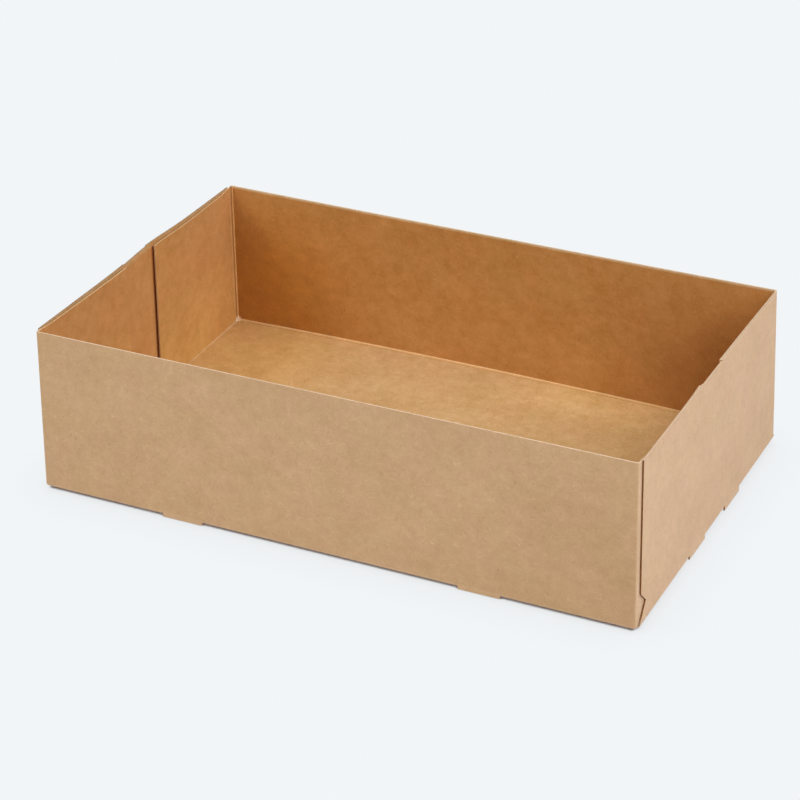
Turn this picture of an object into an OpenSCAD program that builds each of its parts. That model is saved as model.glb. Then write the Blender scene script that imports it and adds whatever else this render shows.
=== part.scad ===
// Open food tray folded from one sheet of kraft board.
// The front and back walls and the two end panels fold up from the floor.
// Each wall ends in two flaps that turn the corner and are glued inside the end panels.
// Origin: middle of the footprint, on the surface that the tray stands on.

/* [Tray] */
// Outside length, along the front wall
tray_length = 220; // [150:1:320]
// Outside width, from the front wall to the back wall
tray_width = 138; // [90:1:220]
// Height of the rim above the underside of the floor
wall_height = 60; // [35:1:110]

/* [Board] */
// Thickness of the board
board = 0.5; // [0.3:0.05:1]
// Inside radius of a fold
fold_inner = 0.2; // [0.1:0.05:0.6]
// Radius of the bead that a crease raises inside its fold
bead_radius = 0.4; // [0.25:0.05:0.6]

/* [Corner flaps] */
// Distance from the front wall's face to the free edge of its flaps
front_flap_reach = 58; // [20:1:64]
// Distance from the back wall's face to the free edge of its flaps
back_flap_reach = 60; // [20:1:64]
// Gap between a flap and the end panel beside the corner fold
flap_seat = 0.15; // [0.05:0.05:0.5]
// Gap between a flap and the end panel at the flap's free edge
flap_lift = 0.3; // [0.2:0.05:2]
// Gap between a flap's lower edge and the floor
flap_floor_gap = 0.5; // [0.3:0.1:3]

/* [Glue] */
// Distance from the wall's face to the glued patch
glue_start = 14; // [6:1:18]
// Length of the glued patch along a flap
glue_length = 24; // [8:1:30]
// Height of the glued patch's lower edge above the underside of the floor
glue_base = 14; // [6:1:18]
// Height of the glued patch
glue_height = 32; // [10:1:50]

/* [End panels] */
// Distance from the wall's face to the side edge of an end panel
panel_inset = 2.5; // [1.5:0.1:5]
// Distance from the wall's face to the foot of that edge, at the floor fold
panel_root_inset = 1.8; // [1.2:0.1:5]
// Depth of the relief hook in the edge
hook_depth = 4.5; // [0.5:0.1:8]
// Height of the hook's upper corner above the underside of the floor
hook_height = 12; // [7:0.5:25]
// Height of the hook's sloping shoulder
hook_shoulder = 4.4; // [0.5:0.1:5]
// Length of the shallow notch in the rim, between the flaps
notch_length = 19; // [8:0.5:40]
// Depth of that notch
notch_depth = 0.4; // [0.2:0.1:4]
// Distance of the notch from the middle, towards the back
notch_offset = -0.5; // [-8:0.5:8]

/* [Feet] */
// Distance that a foot reaches below the underside of the floor
foot_drop = 0.9; // [0.3:0.1:3]
// Length of a foot
foot_length = 15; // [6:0.5:30]
// Width of the cut beside a foot
foot_kerf = 0.3; // [0.1:0.05:1]
// Distance between the centres of a wall's two feet
wall_foot_pitch = 110; // [40:1:140]
// Distance between the centres of an end panel's two feet
panel_foot_pitch = 35; // [20:1:60]
// Distance of those two feet from the middle, towards the back
panel_foot_offset = 4; // [-10:0.5:10]

/* [Look] */
// Colour of the board
kraft = [0.76, 0.6, 0.43];

/* [Hidden] */
$fn = 64;
fold_outer = fold_inner + board;
// Reach of a cutting tool past the face it cuts
past = 1;
// Overlap that joins pieces of the same sheet
bite = 0.1;
rim_z = foot_drop + wall_height;
flap_base_z = foot_drop + board + flap_floor_gap;
// Centre of a corner fold, seen from above, for the front right corner
corner_x = tray_length / 2 - board - flap_seat - fold_outer;
corner_y = tray_width / 2 - fold_outer;

// Section of a fold round the origin, from the wall on the -X side to the floor on the -Y side
module fold_section() {
    intersection() {
        difference() {
            circle(r = fold_outer);
            circle(r = fold_inner);
        }
        translate([-fold_outer, -fold_outer]) square(fold_outer);
    }
    bead_section();
}

// Bead that the crease raises on the inner side of that fold
module bead_section() {
    rotate(225) translate([fold_inner, 0]) circle(r = bead_radius);
}

// Section of one wall with its fold and the floor as far as the middle.
// The wall's outer face is on the line x = 0 and the underside of the floor on y = 0.
module wall_section(half_floor) {
    translate([0, fold_outer]) square([board, wall_height - fold_outer]);
    translate([fold_outer, fold_outer]) fold_section();
    translate([fold_outer, 0]) square([half_floor - fold_outer, board]);
}

// Section of a foot: the wall's board runs straight down past the floor
module foot_section() {
    translate([0, -foot_drop]) square([board, foot_drop + fold_outer + bite]);
}

// Section of the cut beside a foot, through the fold but not through its bead
module foot_cut_section() {
    difference() {
        translate([-past, -past]) square([past + fold_outer, past + fold_outer]);
        translate([fold_outer, fold_outer]) bead_section();
    }
}

// Folded wall with its two feet, which run straight down between the cuts beside them
module footed_wall(length, half_floor, pitch, offset = 0) {
    difference() {
        linear_extrude(length, center = true) wall_section(half_floor);
        for (foot = [-1, 1], end = [-1, 1])
            translate([0, 0, offset + foot * pitch / 2 + end * (foot_length + foot_kerf) / 2])
                linear_extrude(foot_kerf, center = true) foot_cut_section();
    }
    for (foot = [-1, 1]) translate([0, 0, offset + foot * pitch / 2])
        linear_extrude(foot_length, center = true) foot_section();
}

// Front wall with its half of the floor
module front_wall() {
    translate([0, -tray_width / 2, foot_drop]) rotate([90, 0, 90])
        footed_wall(2 * corner_x, tray_width / 2 + bite, wall_foot_pitch);
}

// Outline of an end panel with its strip of floor, seen from its end: y across, z up
module panel_outline() {
    root_y = tray_width / 2 - panel_root_inset;
    edge_y = tray_width / 2 - panel_inset;
    hook_y = edge_y - hook_depth;
    difference() {
        polygon([
            [root_y, -foot_drop - past], [root_y, fold_outer],
            [hook_y, hook_height - hook_shoulder], [edge_y, hook_height],
            [edge_y, wall_height], [-edge_y, wall_height],
            [-edge_y, hook_height], [-hook_y, hook_height - hook_shoulder],
            [-root_y, fold_outer], [-root_y, -foot_drop - past]
        ]);
        translate([notch_offset, wall_height]) rim_notch();
    }
}

// Shallow notch with rounded lower corners, hanging from the rim
module rim_notch() {
    flat = notch_length / 2 - notch_depth;
    translate([-flat, -notch_depth]) square([2 * flat, notch_depth + past]);
    for (side = [-1, 1]) translate([side * flat, 0]) circle(r = notch_depth);
}

// Right end panel with the floor beside it
module end_panel() {
    intersection() {
        translate([tray_length / 2, 0, foot_drop]) rotate([90, 0, 180])
            footed_wall(tray_width, tray_length / 2 - corner_x + bite, panel_foot_pitch, panel_foot_offset);
        translate([corner_x - past, 0, foot_drop]) rotate([90, 0, 90])
            linear_extrude(tray_length / 2 - corner_x + 2 * past) panel_outline();
    }
}

// Plan of the front right corner: a lap of the wall, the fold and the flap inside the end panel
module flap_plan(reach) {
    run = reach - fold_outer;
    turn = asin((flap_lift - flap_seat) / run);
    translate([corner_x, -corner_y]) {
        translate([-fold_outer, -fold_outer]) square([fold_outer, board]);
        for (angle = [0, turn]) rotate(angle + 90) fold_section();
        rotate(turn) translate([fold_inner, 0]) square([board, run]);
    }
}

// Plan of the glued patch between that flap and the end panel
module glue_plan(reach) {
    run = reach - fold_outer;
    turn = asin((flap_lift - flap_seat) / run);
    near = glue_start - fold_outer;
    far = near + glue_length;
    seat = fold_outer - board / 2;
    panel = tray_length / 2 - board / 2 - corner_x;
    translate([corner_x, -corner_y]) polygon([
        [panel, near],
        [panel, far],
        [seat * cos(turn) - far * sin(turn), seat * sin(turn) + far * cos(turn)],
        [seat * cos(turn) - near * sin(turn), seat * sin(turn) + near * cos(turn)]
    ]);
}

// Front right flap, glued to the end panel
module flap(reach) {
    translate([0, 0, flap_base_z]) linear_extrude(rim_z - flap_base_z) flap_plan(reach);
    translate([0, 0, foot_drop + glue_base]) linear_extrude(glue_height) glue_plan(reach);
}

// The whole folded sheet
module tray() {
    color(kraft) {
        front_wall();
        rotate(180) front_wall();
        for (side = [0, 1]) mirror([side, 0, 0]) {
            end_panel();
            flap(front_flap_reach);
            mirror([0, 1, 0]) flap(back_flap_reach);
        }
    }
}

tray();
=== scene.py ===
"""Looks of an open food box that is folded from one sheet of kraft board.

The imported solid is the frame. The sheet is rebuilt from it with finer folds, cut into a grid
so that it can bend a little as the real board does, and dressed in finishes for the outer
face, the inner walls, the floor and the cut edges.
"""

from __future__ import annotations

import logging
import math
from dataclasses import dataclass, field
from enum import Enum
from typing import Union

import bmesh
import bpy
from mathutils import Matrix, Vector

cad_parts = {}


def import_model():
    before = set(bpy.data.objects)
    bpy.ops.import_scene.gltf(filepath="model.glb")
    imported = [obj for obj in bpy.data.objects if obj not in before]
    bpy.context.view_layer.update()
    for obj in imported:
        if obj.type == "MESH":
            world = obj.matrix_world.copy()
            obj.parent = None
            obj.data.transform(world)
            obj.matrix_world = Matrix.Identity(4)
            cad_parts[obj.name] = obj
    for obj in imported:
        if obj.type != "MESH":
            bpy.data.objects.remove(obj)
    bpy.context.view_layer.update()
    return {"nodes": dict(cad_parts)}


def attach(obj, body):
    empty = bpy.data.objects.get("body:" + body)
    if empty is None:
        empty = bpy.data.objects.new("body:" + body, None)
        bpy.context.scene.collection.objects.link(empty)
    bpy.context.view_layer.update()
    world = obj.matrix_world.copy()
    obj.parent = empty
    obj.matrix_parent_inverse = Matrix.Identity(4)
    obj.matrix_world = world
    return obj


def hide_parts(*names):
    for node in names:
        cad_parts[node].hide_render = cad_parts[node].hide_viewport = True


LOG = logging.getLogger("food_box")
MM = 0.001
TRAY_NODE = "tray"
BODY = "root"

Triple = tuple[float, float, float]
Colour = Triple
Pair = tuple[float, float]
Span = Pair
PLAIN: Triple = (1.0, 1.0, 1.0)


class Face(Enum):
    """The surfaces of the board, in the order of the material slots."""

    OUTER = 0
    # The inner walls, whose darker colour is painted shade
    WALL = 1
    FLOOR = 2
    EDGE = 3
    PANEL_RIM = 4
    # Side edges of an end panel, painted dark as the shade in the gap beside them
    PANEL_SIDE = 5
    FLAP_EDGE = 6
    RIGHT_RIM = 7


class Wire:
    """An output socket whose arithmetic adds Math nodes to its graph."""

    def __init__(self, graph: Graph, socket: bpy.types.NodeSocket) -> None:
        """Keeps the graph and the output socket."""
        self.graph = graph
        self.socket = socket

    def __add__(self, other: Number) -> Wire:
        """Sum."""
        return self.graph.math("ADD", self, other)

    __radd__ = __add__

    def __sub__(self, other: Number) -> Wire:
        """Difference."""
        return self.graph.math("SUBTRACT", self, other)

    def __rsub__(self, other: Number) -> Wire:
        """Difference from a plain number."""
        return self.graph.math("SUBTRACT", other, self)

    def __mul__(self, other: Number) -> Wire:
        """Product."""
        return self.graph.math("MULTIPLY", self, other)

    __rmul__ = __mul__

    def __truediv__(self, other: Number) -> Wire:
        """Quotient."""
        return self.graph.math("DIVIDE", self, other)

    def __pow__(self, other: Number) -> Wire:
        """Power."""
        return self.graph.math("POWER", self, other)

    def __gt__(self, other: Number) -> Wire:
        """1 where the value is greater, and 0 elsewhere."""
        return self.graph.math("GREATER_THAN", self, other)

    def clamped(self) -> Wire:
        """The value held between 0 and 1."""
        return self.graph.math("ADD", self, 0.0, clamp=True)

    def step(self, span: Span) -> Wire:
        """A smooth step of the value.

        Args:
            span: Where the step is 0 and where it is 1; the second may be the smaller one.

        Returns:
            The step.
        """
        inputs = {"Value": self, "From Min": span[0], "From Max": span[1]}
        node = self.graph.node("ShaderNodeMapRange", {"interpolation_type": "SMOOTHSTEP"}, inputs)
        return self.graph.out(node, "Result")


Number = Union[Wire, float]
Input = Union[Wire, float, tuple]


class Graph:
    """The node graph of a material or of the world."""

    def __init__(self, owner: Union[bpy.types.Material, bpy.types.World]) -> None:
        """Turns the owner's nodes on and empties them.

        Args:
            owner: The material or the world.
        """
        owner.use_nodes = True
        self.tree = owner.node_tree
        self.tree.nodes.clear()

    def node(self, kind: str, settings: dict | None = None, inputs: dict | None = None) -> bpy.types.Node:
        """Adds a node.

        Args:
            kind: The node's type name.
            settings: Properties of the node, set before its sockets.
            inputs: Socket name or number to a value or a wire.

        Returns:
            The new node.
        """
        made = self.tree.nodes.new(kind)
        for name, value in (settings or {}).items():
            setattr(made, name, value)
        for name, value in (inputs or {}).items():
            if isinstance(value, Wire):
                self.tree.links.new(value.socket, made.inputs[name])
            else:
                made.inputs[name].default_value = value
        return made

    def out(self, node: bpy.types.Node, name: str | int = 0) -> Wire:
        """An output of a node as a wire."""
        return Wire(self, node.outputs[name])

    def math(self, operation: str, left: Number, right: Number, clamp: bool = False) -> Wire:
        """Adds a Math node, whose result may be held between 0 and 1."""
        settings = {"operation": operation, "use_clamp": clamp}
        return self.out(self.node("ShaderNodeMath", settings, {0: left, 1: right}))

    def mix(self, factor: Number, first: Input, second: Input) -> Wire:
        """Mixes two colours; the factor is the share of the second one."""
        settings = {"data_type": "RGBA", "blend_type": "MIX", "clamp_factor": True}
        return self.out(self.node("ShaderNodeMix", settings, {0: factor, 6: first, 7: second}), 2)

    def surface(self, inputs: dict) -> None:
        """Ends a material with its shader, which takes the inputs."""
        shader = self.node("ShaderNodeBsdfPrincipled", {}, inputs)
        self.node("ShaderNodeOutputMaterial", {}, {"Surface": self.out(shader)})

    def attribute(self, name: str) -> Wire:
        """A vector attribute of the mesh."""
        return self.out(self.node("ShaderNodeAttribute", {"attribute_name": name}), "Vector")

    def split(self, vector: Wire) -> tuple[Wire, Wire, Wire]:
        """The three parts of a vector."""
        node = self.node("ShaderNodeSeparateXYZ", {}, {0: vector})
        return self.out(node, 0), self.out(node, 1), self.out(node, 2)

    def vector(self, operation: str, inputs: dict) -> Wire:
        """Adds a Vector Math node, which also takes colours."""
        return self.out(self.node("ShaderNodeVectorMath", {"operation": operation}, inputs))

    def scaled(self, colour: Input, factor: Number) -> Wire:
        """A colour times a number."""
        return self.vector("SCALE", {0: colour, "Scale": factor})

    def added(self, first: Input, second: Input) -> Wire:
        """The sum of two colours."""
        return self.vector("ADD", {0: first, 1: second})

    def times(self, first: Input, second: Input) -> Wire:
        """The product of two colours, part by part."""
        return self.vector("MULTIPLY", {0: first, 1: second})

    def noise(self, place: Wire, per_metre: float, detail: float, rough: float) -> Wire:
        """A noise about 0.5, with its features in a metre, its octaves and their weight."""
        inputs = {"Vector": place, "Scale": per_metre, "Detail": detail, "Roughness": rough}
        return self.out(self.node("ShaderNodeTexNoise", {"noise_dimensions": "3D"}, inputs))

    def turned(self, place: Wire, angle: float, stretch: Triple = PLAIN) -> Wire:
        """Turned and stretched coordinates.

        Args:
            place: Texture coordinates.
            angle: Turn about Z, in degrees.
            stretch: Scale along X, Y and Z after the turn.

        Returns:
            The new coordinates.
        """
        inputs = {"Vector": place, "Rotation": (0.0, 0.0, math.radians(angle))}
        turned = self.node("ShaderNodeMapping", {"vector_type": "TEXTURE"}, inputs)
        inputs = {"Vector": self.out(turned), "Scale": stretch}
        return self.out(self.node("ShaderNodeMapping", {"vector_type": "POINT"}, inputs))


@dataclass(frozen=True)
class BoardSizes:
    """Sizes of the folded board in the frame, in metres, as the part's source has them."""

    length: float = 220 * MM
    width: float = 138 * MM
    rim: float = 60.9 * MM
    floor: float = 0.9 * MM
    board: float = 0.5 * MM
    fold_inner: float = 0.2 * MM
    bead: float = 0.4 * MM
    flap_seat: float = 0.15 * MM
    flap_base: float = 1.9 * MM
    front_reach: float = 58 * MM
    back_reach: float = 60 * MM

    @property
    def fold_outer(self) -> float:
        """Outside radius of a fold."""
        return self.fold_inner + self.board

    @property
    def flap_inset(self) -> float:
        """Distance of a flap's outer face from the outer face of its end panel."""
        return self.board + self.flap_seat

    @property
    def corner_x(self) -> float:
        """Distance of a corner fold's centre from the middle, along X."""
        return self.length / 2 - self.board - self.flap_seat - self.fold_outer

    @property
    def corner_y(self) -> float:
        """Distance of a corner fold's centre from the middle, along Y."""
        return self.width / 2 - self.fold_outer

    @property
    def wall_height(self) -> float:
        """Height of the rim above the underside of the floor."""
        return self.rim - self.floor


@dataclass(frozen=True)
class Specks:
    """Specks in some cells of a random grid."""

    # 1 for pale specks and -1 for dark ones
    sign: float
    # Cells in a metre, radius in cells, and share of the cells that hold a speck
    per_metre: float
    radius: float
    share: float
    # Turn of the grid in degrees, and its scale along Y, small for long specks
    turn: float = 0.0
    squeeze: float = 1.0
    # Share of the radius at full strength
    core: float = 0.4

    def mask(self, graph: Graph, place: Wire) -> Wire:
        """Draws the specks.

        Args:
            graph: The graph to build in.
            place: Coordinates on the flat sheet, in metres.

        Returns:
            The sign inside a speck, and 0 elsewhere.
        """
        lie = graph.turned(place, self.turn, (1.0, self.squeeze, 1.0))
        inputs = {"Vector": lie, "Scale": self.per_metre}
        cells = graph.node("ShaderNodeTexVoronoi", {"feature": "F1"}, inputs)
        split = graph.node("ShaderNodeSeparateColor", {}, {"Color": graph.out(cells, "Color")})
        chosen = graph.out(split, 0) > 1.0 - self.share
        near = graph.out(cells, "Distance").step((self.radius, self.core * self.radius))
        return near * chosen * self.sign


@dataclass(frozen=True)
class PulpTexture:
    """Texture of the pulp, which all the faces of the board share.

    A noise is given by its features in a metre, its octaves and their weight, and a span by the
    two values of that noise between which the mark comes out.
    """

    # Broad patches, those of a few millimetres, and the finest grain
    cloud: Triple = (60.0, 3.0, 0.6)
    mottle: Triple = (260.0, 2.0, 0.5)
    grain: Triple = (1000.0, 1.0, 0.5)
    # Redder patches, and their turn in degrees
    drift: Triple = (75.0, 2.0, 0.5)
    drift_span: Span = (0.35, 0.72)
    drift_turn: float = 25.0
    # Fibres: their noise, its scale along, across and through the sheet, and their directions
    strand: Triple = (1.0, 1.0, 0.4)
    strand_span: Span = (0.60, 0.76)
    fibre_scale: Triple = (260.0, 1900.0, 1900.0)
    fibre_spread: float = 90.0
    fibre_turns: tuple[float, ...] = (14.0, 47.0, 83.0, 121.0, 158.0)
    specks: tuple[Specks, ...] = (
        Specks(-1.0, 190.0, 0.07, 0.30),
        Specks(1.0, 230.0, 0.07, 0.35, turn=60.0),
        Specks(-1.0, 210.0, 0.05, 0.22, turn=12.0, squeeze=0.22),
        Specks(1.0, 230.0, 0.045, 0.20, turn=-55.0, squeeze=0.20),
    )

    def fibres(self, graph: Graph, place: Wire) -> Wire:
        """Short fibres that lie in several directions.

        Args:
            graph: The graph to build in.
            place: Coordinates on the flat sheet, in metres.

        Returns:
            A value about 0, positive on pale fibres and negative on dark ones.
        """
        along, across, through = self.fibre_scale
        total: Number = 0.0
        for number, angle in enumerate(self.fibre_turns):
            lie = graph.turned(place, angle, (along, across, through + self.fibre_spread * number))
            strand = graph.noise(lie, *self.strand)
            sign = 1.0 if number % 2 == 0 else -1.0
            total = strand.step(self.strand_span) * sign + total
        return total

    def speckled(self, graph: Graph, place: Wire) -> Wire:
        """All the specks, positive where they are pale and negative where they are dark."""
        return sum((kind.mask(graph, place) for kind in self.specks), 0.0)


@dataclass(frozen=True)
class Spans:
    """Where the marks on a face begin and end, in millimetres from its end, its wall or the floor.

    Each pair is a smooth step: the mark is 0 at the first distance and 1 at the second.
    """

    # The ridge of a crease, and the spot where three of them meet
    ridge: Span = (1.20, 0.98)
    spot: Span = (2.4, 1.2)
    spot_top: Span = (2.6, 1.4)
    # The painted shade beside a ridge
    groove_near: Span = (1.15, 1.4)
    groove_far: Span = (1.95, 1.6)
    # A flap, with the painted shade in the valley and the shoulder beside its corner fold
    flap: Span = (0.68, 0.60)
    flap_foot: Span = (1.5, 3.0)
    valley_near: Span = (0.72, 0.90)
    valley_far: Span = (1.80, 1.50)
    shoulder_near: Span = (1.65, 1.85)
    shoulder_far: Span = (2.90, 2.40)
    # The painted light and shade beside the ends and along the back wall, and the band just below the rim
    off_flap: Span = (0.7, 0.95)
    low: Span = (66.0, 24.0)
    left: Span = (70.0, 18.0)
    right: Span = (78.0, 5.0)
    back: Span = (32.0, 6.0)
    back_right: Span = (24.0, 54.0)
    back_left: Span = (112.0, 75.0)
    rim: Span = (58.75, 60.0)
    # The painted light and shade on a flap
    flap_face: Span = (0.1, 0.3)
    flap_low: Span = (45.0, 4.0)
    flap_near: Span = (45.0, 4.0)
    flap_far: Span = (12.0, 40.0)
    # The inner side of an end panel: the painted shade behind a flap's free edge, and the band above the
    # flaps
    panel: Span = (0.3, 0.1)
    slit_side: Span = (-0.2, 0.2)
    slit_top: Span = (60.0, 57.0)
    band_foot: Span = (57.4, 58.4)
    band_top: Span = (60.0, 59.8)


@dataclass(frozen=True)
class KraftFinish:
    """Brown kraft board: cloudy pulp, short fibres that cross, and a few specks, with painted light and
    shade in some corners, creases and gaps.
    """

    name: str
    # Mean colour, colour of the redder patches, and what the cloudy tone adds or takes away
    base: Colour
    warm: Colour
    pulp: Colour
    # Strength of the broad and the small patches, of the grain, the fibres and the specks
    cloud: float = 0.13
    mottle: float = 0.16
    grain: float = 0.06
    fibre: float = 0.10
    speck: float = 0.30
    # Colour of the pale fold ridges, stretched fibres with painted highlight on their crests, its share,
    # their mean strength, and that beside a corner fold
    stretch_and_highlight: Colour = (0.68, 0.50, 0.34)
    stretch_and_highlight_share: float = 0.80
    ridge_mean: float = 0.85
    shoulder: float = 0.4
    # Colour of the pale spot where three folds meet, and its share
    spot_colour: Colour = (0.88, 0.66, 0.44)
    spot_colour_share: float = 0.7
    # Colour of the painted shade in a crease's lines, and its share beside a floor bead and beside a
    # corner bead
    painted_crease_shade: Colour = (0.36, 0.17, 0.035)
    groove_shade: float = 0.0
    valley_shade: float = 0.0
    # How far in from an end the fold lines of this face start
    end_inset: float = 0.0
    # What multiplies the colour as painted light and shade low at the left and the right end, along
    # the back wall, and low on a flap and further on, and what multiplies it just below the rim
    left_painted_light: Colour = PLAIN
    right_painted_light: Colour = PLAIN
    rim_tint: Colour = PLAIN
    back_painted_light: Colour = PLAIN
    flap_painted_light: Colour = PLAIN
    far_flap_painted_light: Colour = PLAIN
    # Colour of the painted shade on an end panel behind a back flap's free edge, its share, and the tint
    # above flaps
    slit_shade: Colour = (0.50, 0.16, 0.018)
    slit_shade_share: float = 0.0
    band_tint: Colour = (1.03, 1.29, 2.0)
    # Mean roughness, and what the mottle and the fibres add to it
    rough: float = 0.78
    rough_parts: Pair = (0.16, 0.05)
    # Dusty sheen at a grazing angle, and the level of the plain reflection
    sheen: float = 0.12
    sheen_rough: float = 0.6
    specular: float = 0.3
    # Strength and depth of the relief, and weights of the grain, fibres and mottle in it
    relief: float = 0.16
    relief_depth: float = 0.12 * MM
    relief_parts: Triple = (0.6, 0.5, 0.5)
    texture: PulpTexture = PulpTexture()
    spans: Spans = Spans()

    def distances(self, graph: Graph, drawn: Wire) -> tuple[Wire, Wire, Wire]:
        """How far a point of the drawn sheet is from its end, its wall and the floor, in millimetres.

        Args:
            graph: The graph to build in.
            drawn: The point of the drawn sheet.

        Returns:
            The three distances, the first one from the place where this face's end folds start.
        """
        sizes = BoardSizes()
        x, y, z = graph.split(drawn)
        end = (sizes.length / 2 - self.end_inset - graph.math("ABSOLUTE", x, 0.0)) / MM
        wall = (sizes.width / 2 - graph.math("ABSOLUTE", y, 0.0)) / MM
        return end, wall, (z - sizes.floor) / MM

    def fold_lines(self, graph: Graph, drawn: Wire) -> tuple[Wire, Wire]:
        """The lines that the creases leave on the face.

        Args:
            graph: The graph to build in.
            drawn: The point of the drawn sheet.

        Returns:
            Masks of the pale ridges, stretched fibres with painted highlight, and of the painted shade in
            and beside them.
        """
        spans = self.spans
        end, wall, level = self.distances(graph, drawn)
        nearer = graph.math("MINIMUM", end, wall)
        further = graph.math("MAXIMUM", end, wall)
        away = graph.math("MAXIMUM", nearer, graph.math("MINIMUM", further, level))
        groove_shade = wall.step(spans.groove_far) * wall.step(spans.groove_near)
        on_flap = end.step(spans.flap) * level.step(spans.flap_foot)
        valley = wall.step(spans.valley_near) * wall.step(spans.valley_far) * on_flap
        shoulder = wall.step(spans.shoulder_near) * wall.step(spans.shoulder_far) * on_flap
        ridge = (away.step(spans.ridge) * (1.0 - valley) + shoulder * self.shoulder).clamped()
        return ridge, (groove_shade * self.groove_shade + valley * self.valley_shade).clamped()

    def corner_spot(self, graph: Graph, drawn: Wire) -> Wire:
        """A mask of the pale spot where two floor folds and a corner fold meet."""
        end, wall, level = self.distances(graph, drawn)
        return graph.math("MAXIMUM", end, wall).step(self.spans.spot) * level.step(self.spans.spot_top)

    def with_painted_light(self, graph: Graph, drawn: Wire, colour: Wire) -> Wire:
        """The colour with painted light and shade by the ends, along the back wall and on the flaps,
        changed just below the rim and above the flaps, and with painted shade behind a back flap's free
        edge.

        Args:
            graph: The graph to build in.
            drawn: The point of the drawn sheet.
            colour: The colour of the face.

        Returns:
            The new colour.
        """
        spans, sizes, bends = self.spans, BoardSizes(), Bends()
        end, wall, level = self.distances(graph, drawn)
        x, y, _ = graph.split(drawn)
        right, back = x > 0.0, y > 0.0
        off_flap = end.step(spans.off_flap)
        low = off_flap * level.step(spans.low)
        middle = end.step(spans.back_right) * end.step(spans.back_left) * right
        low_flap = (1.0 - off_flap) * end.step(spans.flap_face) * level.step(spans.flap_low)
        painted_lights = (
            (end.step(spans.left) * low * (1.0 - right), self.left_painted_light),
            (end.step(spans.right) * low * right, self.right_painted_light),
            (wall.step(spans.back) * middle * back, self.back_painted_light),
            (off_flap * level.step(spans.rim), self.rim_tint),
            (low_flap * wall.step(spans.flap_near), self.flap_painted_light),
            (low_flap * wall.step(spans.flap_far), self.far_flap_painted_light),
        )
        for share, tint in painted_lights:
            colour = graph.mix(share, colour, graph.times(colour, tint))
        # Painted shade on an end panel in the gap behind a back flap's free edge
        lean = (level / (sizes.wall_height / MM)).clamped() ** bends.lean_power * bends.back_lean
        behind = (y - (sizes.width / 2 - sizes.back_reach)) / MM - lean
        on_panel = end.step(spans.panel) * self.slit_shade_share
        slit_shade_mask = behind.step(spans.slit_side) * level.step(spans.slit_top) * on_panel
        colour = graph.mix(slit_shade_mask, colour, (*self.slit_shade, 1.0))
        in_band = level.step(spans.band_foot) * level.step(spans.band_top) * on_panel
        return graph.mix(in_band, colour, graph.times(colour, self.band_tint))

    def build(self) -> bpy.types.Material:
        """Makes the material.

        Returns:
            The new material.
        """
        made = bpy.data.materials.new(self.name)
        graph = Graph(made)
        texture = self.texture
        place = graph.attribute("sheet")
        cloud = graph.noise(place, *texture.cloud) - 0.5
        mottle = graph.noise(place, *texture.mottle) - 0.5
        grain = graph.noise(place, *texture.grain) - 0.5
        fibres = texture.fibres(graph, place)
        tone = cloud * (2 * self.cloud) + mottle * (2 * self.mottle) + grain * (2 * self.grain)
        tone = tone + fibres * self.fibre + texture.speckled(graph, place) * self.speck
        drift_place = graph.turned(place, texture.drift_turn)
        drift = graph.noise(drift_place, *texture.drift).step(texture.drift_span)
        drawn = graph.attribute("drawn")
        ridge, painted_shade_line = self.fold_lines(graph, drawn)
        stretch_and_highlight_mask = (ridge * (self.ridge_mean + mottle)).clamped() * self.stretch_and_highlight_share
        tint = graph.mix(drift, (*self.base, 1.0), (*self.warm, 1.0))
        tint = graph.added(tint, graph.scaled(self.pulp, tone))
        stretch_and_highlight = graph.mix(stretch_and_highlight_mask, self.with_painted_light(graph, drawn, tint), (*self.stretch_and_highlight, 1.0))
        stretch_and_highlight = graph.mix(self.corner_spot(graph, drawn) * self.spot_colour_share, stretch_and_highlight, (*self.spot_colour, 1.0))
        colour = graph.mix(painted_shade_line, stretch_and_highlight, (*self.painted_crease_shade, 1.0))
        by_mottle, by_fibres = self.rough_parts
        rough = (self.rough + mottle * by_mottle + fibres * by_fibres).clamped()
        by_grain, by_fibres, by_mottle = self.relief_parts
        height = grain * by_grain + fibres * by_fibres + mottle * by_mottle
        inputs = {"Strength": self.relief, "Distance": self.relief_depth, "Height": height}
        bump = graph.node("ShaderNodeBump", {}, inputs)
        inputs = {"Base Color": colour, "Roughness": rough, "Normal": graph.out(bump)}
        inputs |= {"Sheen Weight": self.sheen, "Sheen Roughness": self.sheen_rough}
        graph.surface(inputs | {"Specular IOR Level": self.specular})
        return made


@dataclass(frozen=True)
class RawEdgeFinish:
    """The cut edge of the board: pale pulp in thin plies, a little torn."""

    name: str
    # Colours of the clean cut and of the pressed plies
    pale: Colour = (0.70, 0.52, 0.36)
    dull: Colour = (0.50, 0.36, 0.22)
    rough: float = 0.9
    specular: float = 0.2
    # Fine tears and broader bites: noises and spans as in the pulp, and the share of the tears
    torn: Triple = (900.0, 3.0, 0.6)
    torn_span: Span = (0.42, 0.75)
    torn_share: float = 0.55
    bite: Triple = (240.0, 2.0, 0.5)
    bite_span: Span = (0.45, 0.75)
    # Strength and depth of the relief of the tears
    relief: float = 0.4
    relief_depth: float = 0.1 * MM

    def build(self) -> bpy.types.Material:
        """Makes the material.

        Returns:
            The new material.
        """
        made = bpy.data.materials.new(self.name)
        graph = Graph(made)
        place = graph.attribute("drawn")
        torn = graph.noise(place, *self.torn)
        tears = torn.step(self.torn_span) * self.torn_share
        bites = graph.noise(place, *self.bite).step(self.bite_span) * (1.0 - self.torn_share)
        colour = graph.mix((tears + bites).clamped(), (*self.pale, 1.0), (*self.dull, 1.0))
        inputs = {"Strength": self.relief, "Distance": self.relief_depth, "Height": torn}
        bump = graph.node("ShaderNodeBump", {}, inputs)
        inputs = {"Base Color": colour, "Roughness": self.rough, "Normal": graph.out(bump)}
        graph.surface(inputs | {"Specular IOR Level": self.specular})
        return made


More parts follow.
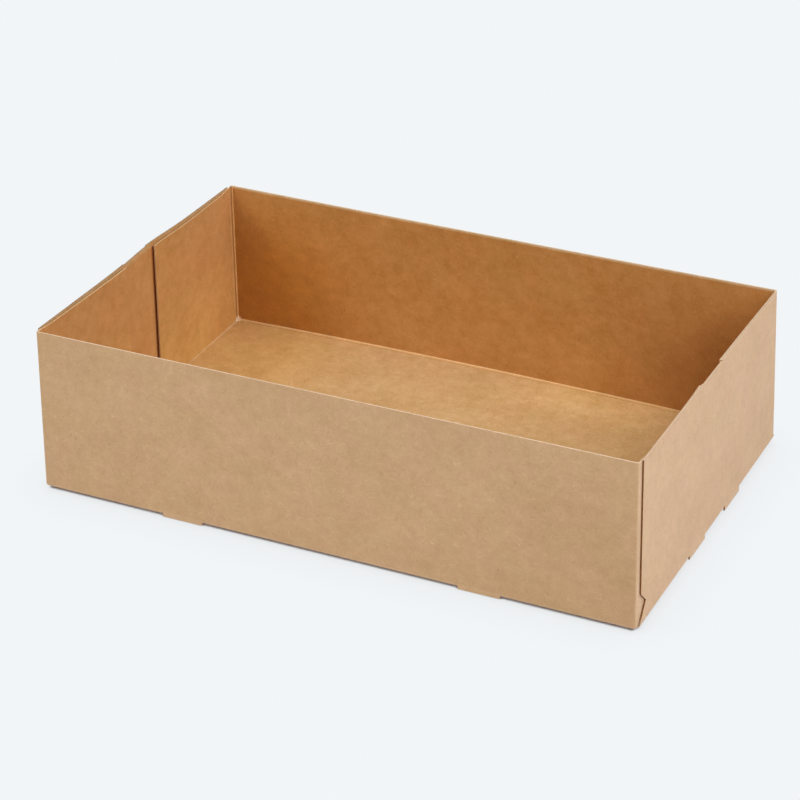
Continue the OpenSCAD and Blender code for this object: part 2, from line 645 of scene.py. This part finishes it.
@dataclass(frozen=True)
class Fold:
    """One straight fold of the sheet.

    Attributes:
        centre: A point on the fold's centre line.
        along: Direction of that line.
        outward: Direction from the line to the middle of the outer arc.
    """

    centre: Vector
    along: Vector
    outward: Vector

    def distance(self, point: Vector) -> float:
        """Distance of a point from the centre line."""
        away = point - self.centre
        return (away - self.along * away.dot(self.along)).length

    def moved(self, shift: float) -> Fold:
        """The same line moved outward."""
        return Fold(self.centre + self.outward * shift, self.along, self.outward)


@dataclass(frozen=True)
class Bends:
    """How the real sheet departs from the drawn one, in millimetres."""

    # For each corner its end, side and level, each -1 or 1, and how far it is moved
    corners: tuple[tuple[int, int, int, Triple], ...] = (
        (-1, -1, -1, (-0.80, -0.35, 0.0)),
        (1, -1, -1, (0.13, -0.50, 0.0)),
        (-1, 1, -1, (0.18, 0.98, 2.0)),
        (1, 1, -1, (0.40, 0.89, 1.48)),
        (-1, -1, 1, (-0.30, -0.11, 0.02)),
        (1, -1, 1, (-1.40, 0.35, 0.14)),
        (-1, 1, 1, (0.0, 0.11, -0.58)),
        (1, 1, 1, (-1.60, -0.65, -0.64)),
    )
    # How far the back floor fold arches up, the right foot out, and the right and back rims in
    back_lift: float = 1.53
    right_foot: float = 0.10
    right_rim: float = 0.36
    back_rim: float = 0.41
    # How far the left rim is bowed out from its flaps, where along the rim, and how wide
    left_bow: float = 1.30
    bow_place: float = 9.0
    bow_reach: float = 16.0
    # How far forward the left notch's back end lies, where that end is, and how wide
    notch_shift: float = 1.4
    notch_end: float = 9.0
    notch_reach: float = 3.0
    # How far the left flaps' free edges stand off their panel, and their rims lie low
    left_flaps: float = 0.74
    left_drop: float = 0.70
    # The left back flap's free edge: its further drop, its lean back, and how late that sets in
    back_drop: float = 0.60
    back_lean: float = 2.1
    lean_power: float = 2.0
    # How far the right flaps are pressed to their panel, and further at the free edge
    right_press: float = 0.06
    right_lift: float = 0.14
    # How far the right front flap's rim lies low, and the share that its tip doesn't take
    right_drop: float = 0.80
    right_tip: float = 0.85
    # How far the flaps' lower edges hang down, and the feet of the right end are pressed up
    flap_droop: float = 0.36
    right_feet: float = 0.40
    # How fast a flap's drop, press and bow set in, and how close drops keep to rim and tip
    onsets: Triple = (8.0, 12.0, 3.0)
    rim_power: int = 4
    tip_power: int = 8

    def shift(self, point: Vector, sizes: BoardSizes) -> Vector:
        """How far a point of the sheet is moved.

        Args:
            point: A point of the drawn sheet, in metres.
            sizes: Sizes of the board.

        Returns:
            The shift, in metres.
        """
        limits = FaceLimits()
        end = max(-1.0, min(1.0, 2 * point.x / sizes.length))
        side = max(-1.0, min(1.0, 2 * point.y / sizes.width))
        share = max(0.0, min(1.0, (point.z - sizes.floor) / sizes.wall_height))
        level = 2 * share - 1
        moved = Vector((0, 0, 0))
        for corner_end, corner_side, corner_level, offset in self.corners:
            weight = (1 + corner_end * end) * (1 + corner_side * side) * (1 + corner_level * level) / 8
            moved += Vector(offset) * weight
        across, along = 1 - side * side, 1 - end * end
        right, back = (1 + end) / 2, (1 + side) / 2
        moved.x += across * right * (self.right_foot * (1 - share) - self.right_rim * share)
        moved.y -= along * back * share * self.back_rim
        moved.z += along * back * (1 - share) * self.back_lift
        below = max(0.0, 1 - point.z / sizes.floor)
        moved.z *= min(1.0, 1 - below)
        if point.x > sizes.length / 2 - sizes.fold_outer:
            moved.z += self.right_feet * below
        on_flap = self.flap_share(point, sizes)
        dropped, pressed, bowed = (min(1.0, onset * on_flap) for onset in self.onsets)
        rim_share = share**self.rim_power * dropped
        if point.x < 0:
            moved.x += self.left_flaps * on_flap
            moved.z -= self.left_drop * rim_share
        elif on_flap > 0:
            moved.x += self.right_press * pressed + self.right_lift * on_flap
            if point.y < 0:
                moved.z -= self.right_drop * rim_share * (1 - self.right_tip * on_flap**self.tip_power)
        if point.x < 0 < point.y:
            moved.y += self.back_lean * on_flap * share**self.lean_power
            moved.z -= self.back_drop * rim_share * on_flap
        away = (point.y / MM - self.bow_place) / self.bow_reach
        bow = self.left_bow * math.exp(-away * away) * share * share
        if point.x < sizes.board + limits.panel_hair - sizes.length / 2:
            moved.x -= bow
            beside = (point.y / MM - self.notch_end) / self.notch_reach
            moved.y -= self.notch_shift * math.exp(-beside * beside) * share**self.rim_power
        elif point.x < 0 and on_flap > 0:
            moved.x -= bow * bowed
        low_edge = abs(point.z - sizes.flap_base) < limits.hair
        if low_edge and abs(point.x) > sizes.corner_x - 2 * limits.flap_hair:
            moved.z -= self.flap_droop
        return moved * MM

    def flap_share(self, point: Vector, sizes: BoardSizes) -> float:
        """How far along a flap a point lies.

        Args:
            point: A point of the drawn sheet, in metres.
            sizes: Sizes of the board.

        Returns:
            The share, from 0 at the corner, and off the flaps, to 1 at the free edge.
        """
        limits = FaceLimits()
        depth = sizes.length / 2 - sizes.board - abs(point.x)
        beside_panel = limits.panel_hair < depth < limits.side
        if not beside_panel or point.z < sizes.flap_base - limits.panel_hair:
            return 0.0
        reach = sizes.front_reach if point.y < 0 else sizes.back_reach
        return max(0.0, sizes.corner_y - abs(point.y)) / (reach - sizes.fold_outer)


@dataclass(frozen=True)
class FaceLimits:
    """Limits by which the faces of the drawn sheet are told apart."""

    # Room for rounding: in general, at a panel's inner side, and beside a flap
    hair: float = 0.02 * MM
    panel_hair: float = 0.01 * MM
    flap_hair: float = 0.05 * MM
    # How far in an end reaches with its flaps, and its cut edges alone
    end: float = 3.4 * MM
    cut_end: float = 1.3 * MM
    # How far in from the walls an end panel's sides begin, and its feet end
    side: float = 2 * MM
    foot_side: float = 3 * MM
    # How far above the floor those feet end, and how far below the rim its edges begin
    foot_top: float = 1.5 * MM
    rim: float = 1 * MM
    # Parts of a normal beyond which a face is a level edge, level board, or an edge across Y or X
    edge_up: float = 0.5
    level: float = 0.7
    across: float = 0.6
    along: float = 0.9


@dataclass
class FoldedSheet:
    """The folded sheet: finer folds, a bending grid, finishes and the bends of the real board."""

    sizes: BoardSizes = field(default_factory=BoardSizes)
    bends: Bends = field(default_factory=Bends)
    limits: FaceLimits = field(default_factory=FaceLimits)
    # Pitch of the grid's cuts, and how far in from the ends, walls and base they start
    grid: float = 5.5 * MM
    margins: Triple = (4 * MM, 3 * MM, 4 * MM)
    # Strips in a quarter of a fold, and how far a packed facet or corner lies off its round
    arc_steps: int = 6
    slack: float = 0.09 * MM
    exact: float = 0.004 * MM
    # Distance of welded corners, in the mesh and in an arc, and length of edges taken out
    weld: float = 1e-6
    arc_snap: float = 1e-7
    shortest: float = 2e-6
    # Degrees under which facets are one face, and from which an edge is sharp
    flat_angle: float = 0.3
    sharp_angle: float = 40.0
    # In the texture, distance between the sheet's sides, and between flaps and panels
    inner_offset: float = 0.31
    flap_offset: float = 0.12

    def folds(self) -> list[Fold]:
        """The four floor folds and the four corner folds.

        Returns:
            The folds.
        """
        sizes = self.sizes
        low = sizes.floor + sizes.fold_outer
        slope = math.sqrt(0.5)
        made = []
        for side in (-1, 1):
            centre = Vector((0, side * sizes.corner_y, low))
            made.append(Fold(centre, Vector((1, 0, 0)), Vector((0, side * slope, -slope))))
            centre = Vector((side * (sizes.length / 2 - sizes.fold_outer), 0, low))
            made.append(Fold(centre, Vector((0, 1, 0)), Vector((side * slope, 0, -slope))))
            for end in (-1, 1):
                centre = Vector((end * sizes.corner_x, side * sizes.corner_y, 0))
                made.append(Fold(centre, Vector((0, 0, 1)), Vector((end * slope, side * slope, 0))))
        return made

    def round_off(self, mesh: bmesh.types.BMesh, fold: Fold, radius: float, inner: bool) -> None:
        """Cuts a rounded face into finer strips and sets them on its true radius.

        Args:
            mesh: The sheet.
            fold: Centre line of the round face.
            radius: Its radius.
            inner: Whether it is a bead, which looks away from the fold's outward side.
        """
        faces = [face for face in mesh.faces if self.on_round(face, fold, radius, inner)]
        if not faces:
            return
        across = fold.along.cross(fold.outward)
        steps = 2 * self.arc_steps if inner else self.arc_steps
        cuts = 4 * self.arc_steps if inner else self.arc_steps
        start = math.pi if inner else math.pi / 4
        for number in range(1, cuts):
            angle = math.pi * number / (2 * steps) - start
            normal = fold.along.cross(fold.outward * math.cos(angle) + across * math.sin(angle))
            parts = set(faces)
            for face in faces:
                parts.update(face.verts)
                parts.update(face.edges)
            plane = {"plane_co": fold.centre, "plane_no": normal, "dist": self.arc_snap}
            bmesh.ops.bisect_plane(mesh, geom=list(parts), **plane)
            faces = [face for face in mesh.faces if self.near_round(face, fold, radius)]
        for vert in {vert for face in faces for vert in face.verts}:
            away = vert.co - fold.centre
            along = fold.along * away.dot(fold.along)
            reach = away - along
            if 0 < radius - reach.length < self.slack:
                vert.co = fold.centre + along + reach.normalized() * radius

    def on_round(self, face: bmesh.types.BMFace, fold: Fold, radius: float, inner: bool) -> bool:
        """Whether a face belongs to a round face.

        Args:
            face: The face.
            fold: Centre line of the round face.
            radius: Its radius.
            inner: Whether it is a bead.

        Returns:
            True for a facet of the round face.
        """
        if any(abs(fold.distance(vert.co) - radius) > self.exact for vert in face.verts):
            return False
        away = face.calc_center_median() - fold.centre
        away -= fold.along * away.dot(fold.along)
        outward = away.dot(fold.outward) * (-1.0 if inner else 1.0)
        return outward > -self.slack and away.dot(face.normal) > 0

    def near_round(self, face: bmesh.types.BMFace, fold: Fold, radius: float) -> bool:
        """Whether all of a face lies close under a round face."""
        return all(-self.exact < radius - fold.distance(vert.co) < self.slack for vert in face.verts)

    def cut_grid(self, mesh: bmesh.types.BMesh) -> None:
        """Cuts the sheet into a grid that can bend.

        Args:
            mesh: The sheet.
        """
        sizes = self.sizes
        end, side, base = self.margins
        for axis, half in enumerate((sizes.length / 2 - end, sizes.width / 2 - side)):
            count = round(2 * half / self.grid)
            for number in range(count + 1):
                self.cut(mesh, axis, -half + 2 * half * number / count)
        height = sizes.rim - base
        count = round(height / self.grid)
        for number in range(count):
            self.cut(mesh, 2, base + height * number / count)

    def cut(self, mesh: bmesh.types.BMesh, axis: int, place: float) -> None:
        """Cuts the sheet with a plane across one axis.

        Args:
            mesh: The sheet.
            axis: Number of the axis.
            place: Where the plane crosses it, in metres.
        """
        point, normal = Vector((0, 0, 0)), Vector((0, 0, 0))
        point[axis], normal[axis] = place, 1.0
        geometry = list(mesh.verts) + list(mesh.edges) + list(mesh.faces)
        bmesh.ops.bisect_plane(mesh, geom=geometry, plane_co=point, plane_no=normal, dist=self.weld)

    def face_of(self, face: bmesh.types.BMFace) -> Face:
        """Which surface of the board a face belongs to.

        Args:
            face: A face of the sheet before it is bent.

        Returns:
            The outer face, an inner face or the cut edge.
        """
        sizes, limits = self.sizes, self.limits
        middle, normal = face.calc_center_median(), face.normal
        side_x, side_y = math.copysign(1, middle.x), math.copysign(1, middle.y)
        at_end = abs(middle.x) > sizes.length / 2 - limits.end
        in_wall = abs(middle.y) > sizes.width / 2 - sizes.board - limits.hair
        in_foot = middle.z < sizes.floor - limits.hair
        above_base = middle.z > sizes.flap_base - limits.flap_hair
        if abs(normal.z) > limits.edge_up and (in_foot or above_base):
            return Face.EDGE
        if abs(normal.z) > limits.level:
            return Face.OUTER if normal.z < 0 else Face.FLOOR
        if at_end and abs(normal.y) > limits.across:
            if abs(middle.y) < sizes.width / 2 - limits.side:
                return Face.EDGE
            if middle.z < sizes.floor + sizes.fold_outer:
                return Face.OUTER
            if abs(middle.x) > sizes.length / 2 - sizes.board - limits.hair:
                return Face.EDGE
        if in_wall and abs(normal.x) > limits.along and not at_end:
            return Face.EDGE
        outward = Vector((side_x * abs(normal.x), side_y * abs(normal.y), -abs(normal.z)))
        return Face.OUTER if outward.dot(normal) > 0 else Face.WALL

    def finish_of(self, face: bmesh.types.BMFace) -> Face:
        """The finish of a face, with the cut edges of the ends apart from the others.

        Args:
            face: A face of the sheet before it is bent.

        Returns:
            The finish.
        """
        kind = self.face_of(face)
        if kind is not Face.EDGE:
            return kind
        sizes, limits = self.sizes, self.limits
        middle = face.calc_center_median()
        in_panel = abs(middle.x) > sizes.length / 2 - sizes.board - limits.panel_hair
        at_end = abs(middle.x) > sizes.length / 2 - limits.cut_end
        at_foot = middle.z < sizes.floor + limits.foot_top
        if at_end and at_foot and abs(middle.y) > sizes.width / 2 - limits.foot_side:
            return Face.PANEL_RIM
        if middle.z < sizes.rim - limits.rim or abs(face.normal.y) > limits.across:
            return Face.PANEL_SIDE if in_panel else Face.FLAP_EDGE if at_end else kind
        if at_end and middle.x > 0:
            return Face.RIGHT_RIM
        return Face.PANEL_RIM if in_panel else Face.FLAP_EDGE if at_end else kind

    def sheet_place(self, face: bmesh.types.BMFace, point: Vector) -> Vector:
        """Where a corner of a face lies on the flat sheet, before it is folded.

        Args:
            face: The face.
            point: Its corner on the drawn sheet.

        Returns:
            The place on the sheet; the third number keeps its two sides and the flaps apart.
        """
        sizes, limits = self.sizes, self.limits
        side = 0.0 if face.material_index == Face.OUTER.value else self.inner_offset
        if abs(face.normal.z) > limits.level:
            return Vector((point.x, point.y, side))
        if abs(face.normal.y) > abs(face.normal.x):
            return Vector((point.x, math.copysign(sizes.width / 2 + point.z, point.y), side))
        if abs(point.x) < sizes.length / 2 - sizes.flap_inset + limits.flap_hair:
            side += self.flap_offset
        return Vector((math.copysign(sizes.length / 2 + point.z, point.x), point.y, side))

    def build(self, solid: bpy.types.Object, finishes: list[bpy.types.Material]) -> bpy.types.Object:
        """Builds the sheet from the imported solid.

        Args:
            solid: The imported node.
            finishes: Materials in the order of the Face values.

        Returns:
            The new piece.
        """
        mesh = bmesh.new()
        mesh.from_mesh(solid.data)
        bmesh.ops.remove_doubles(mesh, verts=mesh.verts, dist=self.weld)
        flat = math.radians(self.flat_angle)
        bmesh.ops.dissolve_limit(mesh, angle_limit=flat, verts=mesh.verts, edges=mesh.edges)
        mesh.normal_update()
        for fold in self.folds():
            self.round_off(mesh, fold, self.sizes.fold_outer, inner=False)
            self.round_off(mesh, fold.moved(self.sizes.fold_inner), self.sizes.bead, inner=True)
        self.cut_grid(mesh)
        bmesh.ops.dissolve_degenerate(mesh, dist=self.shortest, edges=mesh.edges)
        mesh.normal_update()
        drawn = mesh.verts.layers.float_vector.new("drawn")
        for vert in mesh.verts:
            vert[drawn] = vert.co
        for face in mesh.faces:
            face.material_index = self.finish_of(face).value
            face.smooth = True
        sheet = mesh.loops.layers.float_vector.new("sheet")
        for face in mesh.faces:
            for loop in face.loops:
                loop[sheet] = self.sheet_place(face, loop.vert.co)
        sharp = math.radians(self.sharp_angle)
        for edge in mesh.edges:
            edge.smooth = len(edge.link_faces) == 2 and edge.calc_face_angle(0) < sharp
        for vert in mesh.verts:
            vert.co += self.bends.shift(vert.co, self.sizes)
        data = bpy.data.meshes.new("kraft_sheet")
        mesh.to_mesh(data)
        mesh.free()
        for finish in finishes:
            data.materials.append(finish)
        piece = bpy.data.objects.new("kraft_sheet", data)
        bpy.context.scene.collection.objects.link(piece)
        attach(piece, BODY)
        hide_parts(TRAY_NODE)
        return piece


@dataclass(frozen=True)
class Lamp:
    """A soft box: its place, side and aim are in metres, and its power is in watts."""

    name: str
    place: Triple
    size: float
    power: float
    colour: Colour
    aim: Triple = (0.0, 0.0, 0.03)

    def build(self) -> None:
        """Adds the light, turned to the box."""
        data = bpy.data.lights.new(self.name, "AREA")
        data.size = self.size
        data.energy = self.power
        data.color = self.colour
        lamp = bpy.data.objects.new(self.name, data)
        lamp.location = self.place
        lamp.rotation_mode = "QUATERNION"
        beam = Vector(self.aim) - Vector(self.place)
        lamp.rotation_quaternion = beam.to_track_quat("-Z", "Y")
        bpy.context.scene.collection.objects.link(lamp)


@dataclass(frozen=True)
class Viewpoint:
    """The camera of the photograph: angles in degrees, target in millimetres, distance in metres."""

    turn: float = 25.29
    lift: float = 28.14
    roll: float = -0.231
    target: Triple = (-0.70, -11.07, 30.93)
    distance: float = 0.91426
    # Focal length in widths of the picture, and width of the sensor in millimetres
    focal: float = 3.3025
    sensor: float = 36.0

    def build(self) -> None:
        """Adds the camera and makes it the scene's own."""
        turn, lift, roll = (math.radians(angle) for angle in (self.turn, self.lift, self.roll))
        back = Vector((math.sin(turn) * math.cos(lift), -math.cos(turn) * math.cos(lift), math.sin(lift)))
        right = Vector((0, 0, 1)).cross(back).normalized()
        level = Matrix((right, back.cross(right), back)).transposed()
        turned = level @ Matrix.Rotation(roll, 3, "Z")
        place = Vector(self.target) * MM + back * self.distance
        data = bpy.data.cameras.new("camera")
        data.sensor_width = self.sensor
        data.lens = self.sensor * self.focal
        eye = bpy.data.objects.new("camera", data)
        eye.matrix_world = Matrix.Translation(place) @ turned.to_4x4()
        bpy.context.scene.collection.objects.link(eye)
        bpy.context.scene.camera = eye


@dataclass
class Studio:
    """Pale floor, soft light and the camera of the photograph."""

    # Colour of the floor as the camera sees it and as the box does, and of its shadows
    backdrop: Colour = (0.888, 0.915, 0.930)
    bounce: Colour = (0.80, 0.81, 0.82)
    contact: Colour = (0.10, 0.060, 0.044)
    shadow: Colour = (0.16, 0.05, 0.0)
    # Surrounding light
    sky: Colour = PLAIN
    sky_strength: float = 0.25
    # Half the length of the floor's side, in metres
    floor_size: float = 6.0
    # Reach of the contact, the close and the wide shadow, in millimetres, and their samples
    reaches: Triple = (1.5, 4.0, 22.0)
    shade_samples: int = 12
    # Openness over which the contact shadow ends, and strength of the other two
    contact_span: Span = (0.44, 0.60)
    veils: Pair = (0.13, 0.11)
    # Where along X the painted contact shadow gives way to painted light at the right end, and the share
    # of it taken away there
    lit_end: Span = (0.1080, 0.1100)
    lit_share: float = 0.85
    lamps: tuple[Lamp, ...] = (
        Lamp("left_front", (-0.600, -0.600, 0.879), 0.8, 7.90, (1.0, 0.970, 0.905)),
        Lamp("right_front", (0.735, -0.424, 0.879), 0.8, 6.30, (1.0, 1.005, 1.04)),
        Lamp("right", (0.849, 0.0, 0.879), 0.8, 7.25, (1.0, 1.015, 1.13)),
    )
    viewpoint: Viewpoint = Viewpoint()

    def world(self) -> None:
        """Sets the surrounding light, and the plain background behind it."""
        made = bpy.data.worlds.new("studio")
        bpy.context.scene.world = made
        graph = Graph(made)
        seen = self.seen(graph)
        soft = graph.node("ShaderNodeBackground", {}, {0: (*self.sky, 1.0), 1: self.sky_strength})
        plain = graph.node("ShaderNodeBackground", {}, {0: (*self.backdrop, 1.0), 1: 1.0})
        mixed = graph.node("ShaderNodeMixShader", {}, {0: seen, 1: graph.out(soft), 2: graph.out(plain)})
        graph.node("ShaderNodeOutputWorld", {}, {"Surface": graph.out(mixed)})

    def seen(self, graph: Graph) -> Wire:
        """Tells the rays that show the background from those that light the box.

        Args:
            graph: The graph to build in.

        Returns:
            1 for what the camera sees straight, mirrored or through glass, and 0 for other rays.
        """
        path = graph.node("ShaderNodeLightPath")
        names = ("Is Camera Ray", "Is Glossy Ray", "Is Transmission Ray")
        camera, glossy, through = (graph.out(path, name) for name in names)
        return (camera + glossy + through).clamped()

    def floor(self) -> None:
        """Lays the floor; its glow for the camera keeps a shadow of the box painted from ambient
        occlusion.
        """
        mesh = bmesh.new()
        bmesh.ops.create_grid(mesh, x_segments=1, y_segments=1, size=self.floor_size)
        data = bpy.data.meshes.new("floor")
        mesh.to_mesh(data)
        mesh.free()
        plane = bpy.data.objects.new("floor", data)
        bpy.context.scene.collection.objects.link(plane)
        made = bpy.data.materials.new("pale_floor")
        graph = Graph(made)
        touch, close, wide = (self.openness(graph, reach * MM) for reach in self.reaches)
        place = graph.out(graph.node("ShaderNodeNewGeometry"), "Position")
        lit_end = graph.split(place)[0].step(self.lit_end)
        veil = self.veils[0] * (1.0 - close) + self.veils[1] * (1.0 - wide)
        tone = graph.mix(veil, (*self.backdrop, 1.0), (*self.shadow, 1.0))
        dark = (1.0 - touch.step(self.contact_span)) * (1.0 - self.lit_share * lit_end)
        shade = graph.mix(dark, tone, (*self.contact, 1.0))
        lit = graph.node("ShaderNodeEmission", {}, {0: shade, 1: 1.0})
        matt = graph.node("ShaderNodeBsdfDiffuse", {}, {0: (*self.bounce, 1.0)})
        inputs = {0: self.seen(graph), 1: graph.out(matt), 2: graph.out(lit)}
        mixed = graph.node("ShaderNodeMixShader", {}, inputs)
        graph.node("ShaderNodeOutputMaterial", {}, {"Surface": graph.out(mixed)})
        data.materials.append(made)

    def openness(self, graph: Graph, reach: float) -> Wire:
        """How open the floor is to the light, from 0 right under something within reach to 1."""
        settings = {"samples": self.shade_samples}
        return graph.out(graph.node("ShaderNodeAmbientOcclusion", settings, {"Distance": reach}), "AO")

    def build(self) -> None:
        """Builds the studio."""
        bpy.context.scene.view_settings.view_transform = "Standard"
        self.world()
        self.floor()
        for lamp in self.lamps:
            lamp.build()
        self.viewpoint.build()


def finishes() -> list[bpy.types.Material]:
    """The finishes of the board, in the order of the Face values.

    Returns:
        The materials.
    """
    sizes = BoardSizes()
    outer = KraftFinish(
        "kraft_outer",
        base=(0.50, 0.316, 0.155),
        warm=(0.51, 0.311, 0.164),
        pulp=(0.50, 0.40, 0.29),
        cloud=0.10,
        mottle=0.10,
        grain=0.055,
        fibre=0.085,
        stretch_and_highlight_share=0.15,
        spot_colour_share=0.0,
        right_painted_light=(0.92, 0.90, 0.87),
        sheen=0.16,
    )
    # The inner walls share one side of the board with the floor; their darker, more saturated colour is
    # painted shade and warm bounce light.
    wall = KraftFinish(
        "kraft_wall_painted_shade",
        base=(0.490, 0.225, 0.0510),
        warm=(0.500, 0.220, 0.0490),
        pulp=(0.46, 0.29, 0.145),
        mottle=0.17,
        fibre=0.09,
        stretch_and_highlight=(0.72, 0.41, 0.145),
        painted_crease_shade=(0.33, 0.125, 0.02),
        valley_shade=0.8,
        end_inset=sizes.flap_inset,
        left_painted_light=(0.88, 0.74, 0.225),
        right_painted_light=(0.69, 0.545, 0.31),
        rim_tint=(1.42, 2.35, 6.0),
        flap_painted_light=(1.14, 1.20, 1.02),
        far_flap_painted_light=(1.10, 1.26, 1.20),
        slit_shade_share=0.95,
    )
    floor = KraftFinish(
        "kraft_floor",
        base=(0.480, 0.287, 0.106),
        warm=(0.490, 0.281, 0.109),
        pulp=(0.48, 0.39, 0.29),
        stretch_and_highlight=(0.745, 0.50, 0.24),
        groove_shade=0.45,
        end_inset=sizes.flap_inset + 0.5 * sizes.board,
        left_painted_light=(1.15, 1.07, 0.775),
        right_painted_light=(1.14, 1.16, 1.17),
        back_painted_light=(1.19, 1.21, 1.19),
    )
    edge = RawEdgeFinish("kraft_raw_edge")
    # The end panels' rims and foot edges are darker brown than the other cut edges, partly painted shade
    # of the gaps beside them.
    panel_rim = RawEdgeFinish("kraft_panel_rim", (0.34, 0.235, 0.155), (0.22, 0.145, 0.09))
    # The side edges of an end panel are painted dark as the shade in the gap beside them.
    panel_side_shade = RawEdgeFinish("kraft_panel_side", (0.25, 0.105, 0.026), (0.10, 0.041, 0.011))
    flap_edge = RawEdgeFinish("kraft_flap_edge", (0.61, 0.39, 0.20), (0.48, 0.30, 0.145))
    right_rim = RawEdgeFinish("kraft_right_rim", (0.58, 0.41, 0.265), (0.50, 0.35, 0.22))
    made = (outer, wall, floor, edge, panel_rim, panel_side_shade, flap_edge, right_rim)
    return [finish.build() for finish in made]


def main() -> None:
    """Builds the food box and its studio."""
    logging.basicConfig(level=logging.INFO, format="%(name)s: %(message)s")
    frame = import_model()
    sheet = FoldedSheet().build(frame["nodes"][TRAY_NODE], finishes())
    LOG.info("%s has %d faces", sheet.name, len(sheet.data.polygons))
    Studio().build()
    LOG.info("studio is set")


if __name__ == "__main__":
    main()
